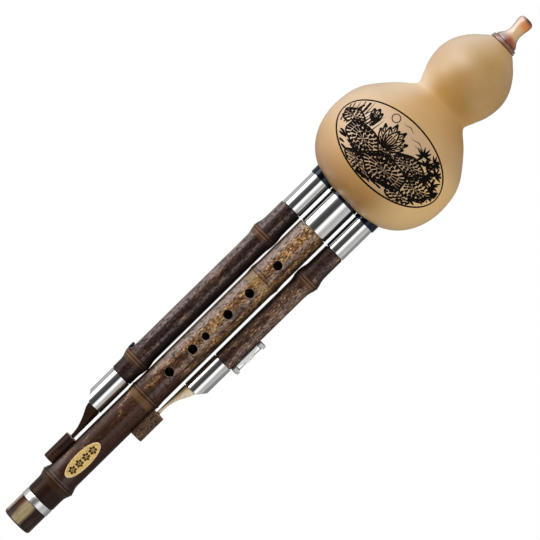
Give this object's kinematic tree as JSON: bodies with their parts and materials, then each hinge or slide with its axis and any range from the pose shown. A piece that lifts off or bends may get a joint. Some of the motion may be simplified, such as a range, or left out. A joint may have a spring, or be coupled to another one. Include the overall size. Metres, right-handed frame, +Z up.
{
  "type": "hulusi gourd flute",
  "caption": "Gourd flute: a fingered bamboo pipe between a long and a short drone, hung from a hollow gourd with a mouthpiece on top.",
  "frame": {"origin": "centre of the main pipe's tail end face, on the pipe's axis", "axes": "+Z up the main pipe towards the mouthpiece, finger holes face -Y, long drone at -X and short drone at +X"},
  "size_m": [0.0912, 0.0912, 0.4306],
  "materials": {
    "gourd_skin": "satin, sealed gourd skin",
    "black_bamboo": "polished, mottled",
    "pale_bamboo": "bare, carved",
    "bright_metal": "polished",
    "horn": "polished horn",
    "gilt_plate": "satin gilt",
    "reed_brass": "brushed",
    "amber_resin": "polished, slightly clear",
    "black_lacquer": "gloss",
    "reed_wood": "bare",
    "pad_leather": "matt"
  },
  "bodies": {
    "pipe": {"main_pipe": "black_bamboo", "tail_tip": "horn", "tail_ferrule": "bright_metal", "name_plate": "gilt_plate", "left_block": "black_bamboo", "right_block": "black_bamboo"},
    "gourd": {"gourd_shell": "gourd_skin", "mouthpiece_collar": "amber_resin", "mouthpiece": "amber_resin", "main_socket": "bright_metal", "left_socket": "bright_metal", "right_socket": "bright_metal", "main_collar": "black_lacquer", "left_collar": "black_lacquer", "right_collar": "black_lacquer", "main_reed_block": "reed_wood", "left_reed_block": "reed_wood", "right_reed_block": "reed_wood", "main_reed": "reed_brass", "left_reed": "reed_brass", "right_reed": "reed_brass"},
    "left_drone": {"left_drone_pipe": "black_bamboo", "left_sleeve": "bright_metal", "left_quill": "black_bamboo"},
    "left_plug": {"left_vent_plug": "black_lacquer"},
    "right_drone": {"right_drone_pipe": "black_bamboo", "right_sleeve": "bright_metal", "right_quill": "pale_bamboo", "switch_bracket": "bright_metal", "switch_guide": "bright_metal", "switch_screw_lower": "bright_metal", "switch_screw_upper": "bright_metal"},
    "slider": {"switch_slider": "bright_metal", "switch_pad": "pad_leather"}
  },
  "joints": [
    {"name": "gourd_lift", "type": "slide", "parent": "pipe", "child": "gourd", "axis": [0, 0, 1], "range_m": [0, 0.02]},
    {"name": "left_drone_tune", "type": "slide", "parent": "gourd", "child": "left_drone", "axis": [0, 0, -1], "range_m": [0, 0.004]},
    {"name": "right_drone_tune", "type": "slide", "parent": "gourd", "child": "right_drone", "axis": [0, 0, -1], "range_m": [0, 0.004]},
    {"name": "left_plug_pull", "type": "slide", "parent": "left_drone", "child": "left_plug", "axis": [-1, 0, 0], "range_m": [0, 0.006]},
    {"name": "drone_switch", "type": "slide", "parent": "right_drone", "child": "slider", "axis": [0, 0, 1], "range_m": [-0.0035, 0.0035]}
  ]
}
